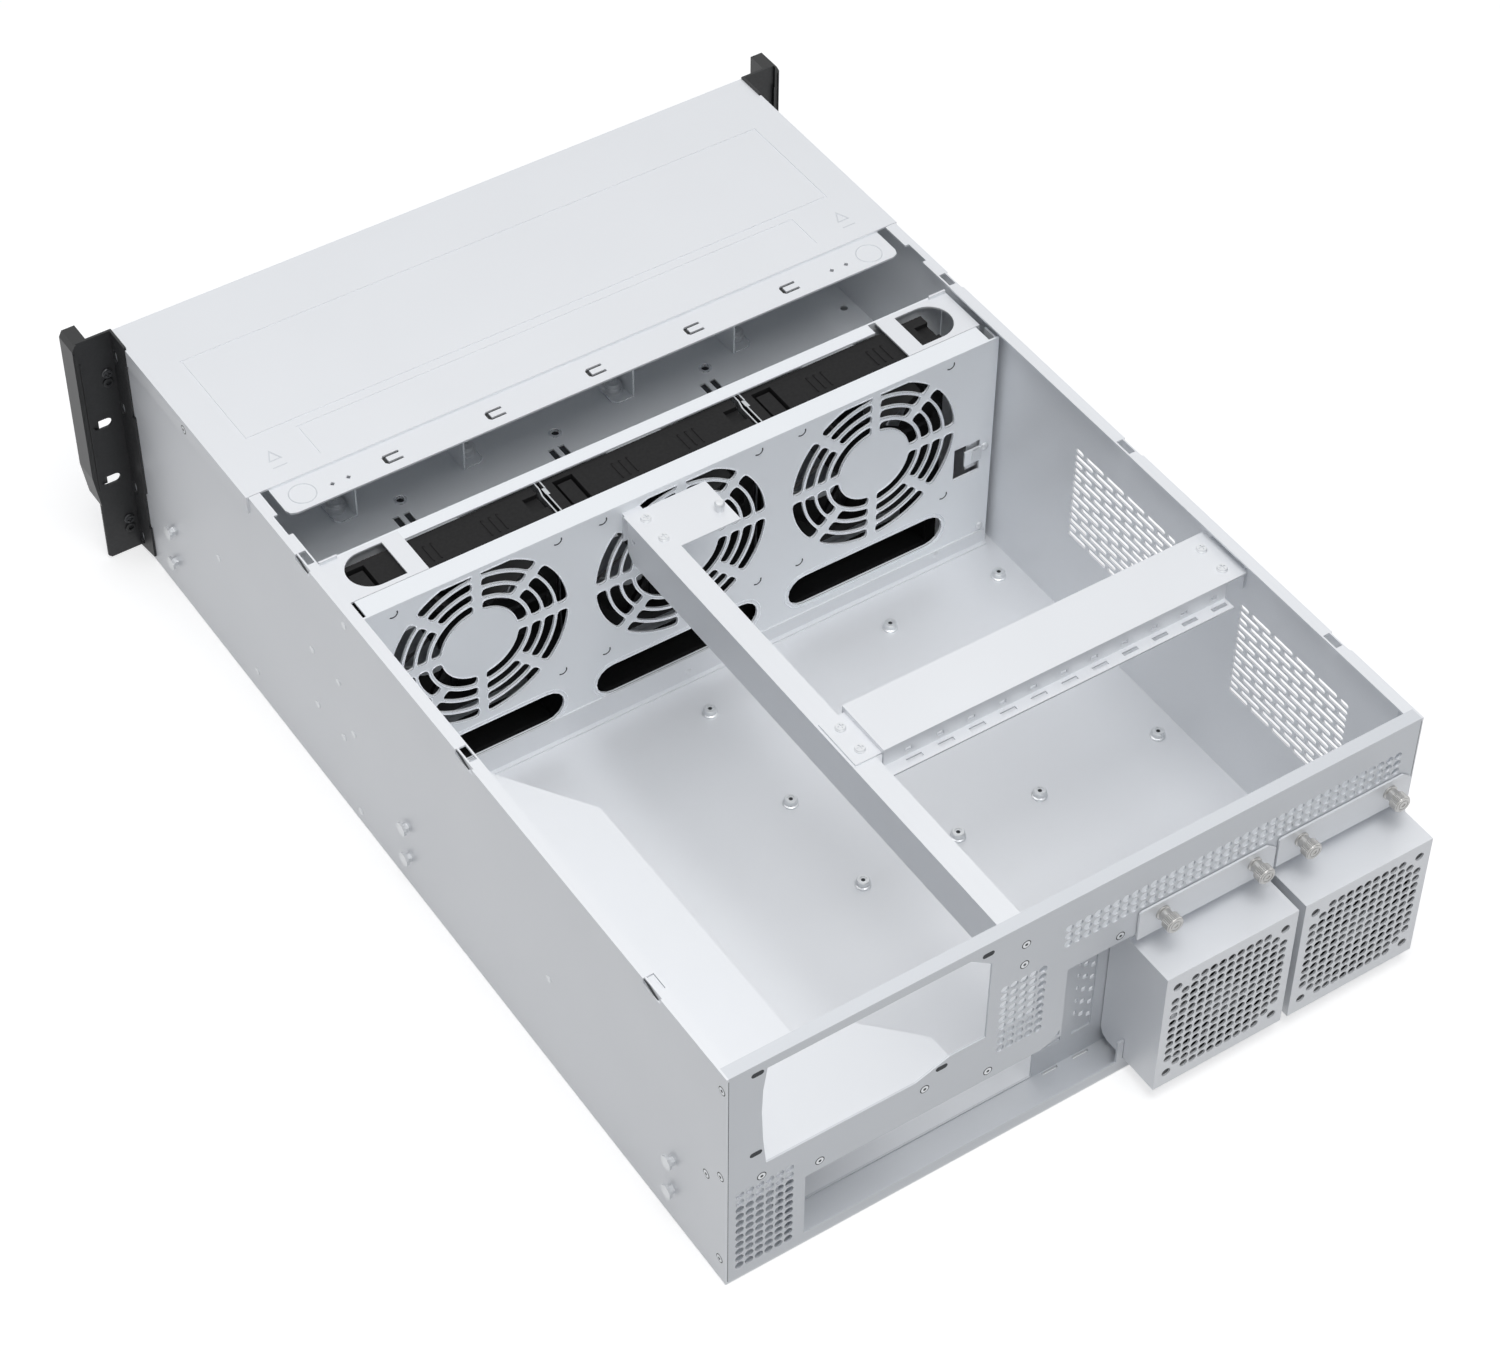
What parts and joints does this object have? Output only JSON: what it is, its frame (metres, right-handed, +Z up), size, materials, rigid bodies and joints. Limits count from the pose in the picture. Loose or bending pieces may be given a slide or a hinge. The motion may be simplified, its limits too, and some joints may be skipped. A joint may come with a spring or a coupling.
{
  "type": "empty rackmount server case",
  "caption": "Tall rack case of folded sheet steel, open behind a fixed front cover, with a fan wall, beams, rear fan boxes and rack ears.",
  "frame": {"origin": "middle of the case's flat underside, half way along its depth between the front wall and the rear panel", "axes": "+Y towards the rear panel, +Z up, +X towards the power supply side"},
  "size_m": [0.49, 0.6905, 0.172],
  "materials": {
    "galvanised_sheet": "satin zinc-coated sheet",
    "black_powder_coat": "matt powder coat",
    "black_plastic": "matt moulded",
    "fan_plastic": "matt moulded",
    "nickel": "satin nickel plate",
    "plated_steel": "bright zinc plate",
    "spring_steel": "polished strip"
  },
  "bodies": {
    "chassis": {"base_floor": "galvanised_sheet", "beam_bracket_front": "galvanised_sheet", "beam_bracket_rear": "galvanised_sheet", "bracket_screws": "plated_steel", "cage_bracket_1": "galvanised_sheet", "cage_bracket_2": "galvanised_sheet", "cage_bracket_3": "galvanised_sheet", "cage_bracket_4": "galvanised_sheet", "cage_end_left": "galvanised_sheet", "cage_end_right": "galvanised_sheet", "cage_front": "galvanised_sheet", "card_beam": "galvanised_sheet", "card_beam_rest": "galvanised_sheet", "centre_beam": "galvanised_sheet", "divider_clip_1": "spring_steel", "divider_clip_2": "spring_steel", "ear_left": "black_powder_coat", "ear_right": "black_powder_coat", "fan_module_1": "fan_plastic", "fan_module_2": "fan_plastic", "fan_module_3": "fan_plastic", "fan_wall": "galvanised_sheet", "front_cover": "galvanised_sheet", "front_panel": "galvanised_sheet", "handle_left": "black_plastic", "handle_right": "black_plastic", "mid_shelf": "galvanised_sheet", "psu_shelf": "galvanised_sheet", "rail_pins": "plated_steel", "rear_panel": "galvanised_sheet", "side_wall_left": "galvanised_sheet", "side_wall_right": "galvanised_sheet", "slot_bracket": "galvanised_sheet", "slot_cover_1": "galvanised_sheet", "slot_cover_2": "galvanised_sheet", "standoffs": "plated_steel", "wall_foot": "galvanised_sheet"},
    "large_rotor_1": {"fan_rotor_1": "fan_plastic"},
    "large_rotor_2": {"fan_rotor_2": "fan_plastic"},
    "large_rotor_3": {"fan_rotor_3": "fan_plastic"},
    "rear_box_1": {"rear_fan_box_1": "galvanised_sheet", "rear_fan_frame_1": "fan_plastic"},
    "small_rotor_1": {"rear_fan_rotor_1": "fan_plastic"},
    "thumb_body_1": {"thumbscrew_1": "nickel"},
    "thumb_body_2": {"thumbscrew_2": "nickel"},
    "rear_box_2": {"rear_fan_box_2": "galvanised_sheet", "rear_fan_frame_2": "fan_plastic"},
    "small_rotor_2": {"rear_fan_rotor_2": "fan_plastic"},
    "thumb_body_3": {"thumbscrew_3": "nickel"},
    "thumb_body_4": {"thumbscrew_4": "nickel"}
  },
  "joints": [
    {"name": "large_fan_spin_1", "type": "hinge", "parent": "chassis", "child": "large_rotor_1", "pos_m": [0.1397, -0.0737, 0.1055], "axis": [0, 1, 0], "continuous": true},
    {"name": "large_fan_spin_2", "type": "hinge", "parent": "chassis", "child": "large_rotor_2", "pos_m": [0.0064, -0.0737, 0.1055], "axis": [0, 1, 0], "continuous": true},
    {"name": "large_fan_spin_3", "type": "hinge", "parent": "chassis", "child": "large_rotor_3", "pos_m": [-0.1269, -0.0737, 0.1055], "axis": [0, 1, 0], "continuous": true},
    {"name": "rear_box_slide_1", "type": "slide", "parent": "chassis", "child": "rear_box_1", "axis": [0, 1, 0], "range_m": [0, 0.1]},
    {"name": "rear_fan_spin_1", "type": "hinge", "parent": "rear_box_1", "child": "small_rotor_1", "pos_m": [-0.0795, 0.3369, 0.056], "axis": [0, 1, 0], "continuous": true},
    {"name": "thumbscrew_turn_1", "type": "hinge", "parent": "rear_box_1", "child": "thumb_body_1", "pos_m": [-0.0493, 0.3299, 0.124], "axis": [0, 1, 0], "continuous": true},
    {"name": "thumbscrew_turn_2", "type": "hinge", "parent": "rear_box_1", "child": "thumb_body_2", "pos_m": [-0.1097, 0.3299, 0.124], "axis": [0, 1, 0], "continuous": true},
    {"name": "rear_box_slide_2", "type": "slide", "parent": "chassis", "child": "rear_box_2", "axis": [0, 1, 0], "range_m": [0, 0.1]},
    {"name": "rear_fan_spin_2", "type": "hinge", "parent": "rear_box_2", "child": "small_rotor_2", "pos_m": [-0.1713, 0.3369, 0.056], "axis": [0, 1, 0], "continuous": true},
    {"name": "thumbscrew_turn_3", "type": "hinge", "parent": "rear_box_2", "child": "thumb_body_3", "pos_m": [-0.1411, 0.3299, 0.124], "axis": [0, 1, 0], "continuous": true},
    {"name": "thumbscrew_turn_4", "type": "hinge", "parent": "rear_box_2", "child": "thumb_body_4", "pos_m": [-0.2015, 0.3299, 0.124], "axis": [0, 1, 0], "continuous": true}
  ]
}
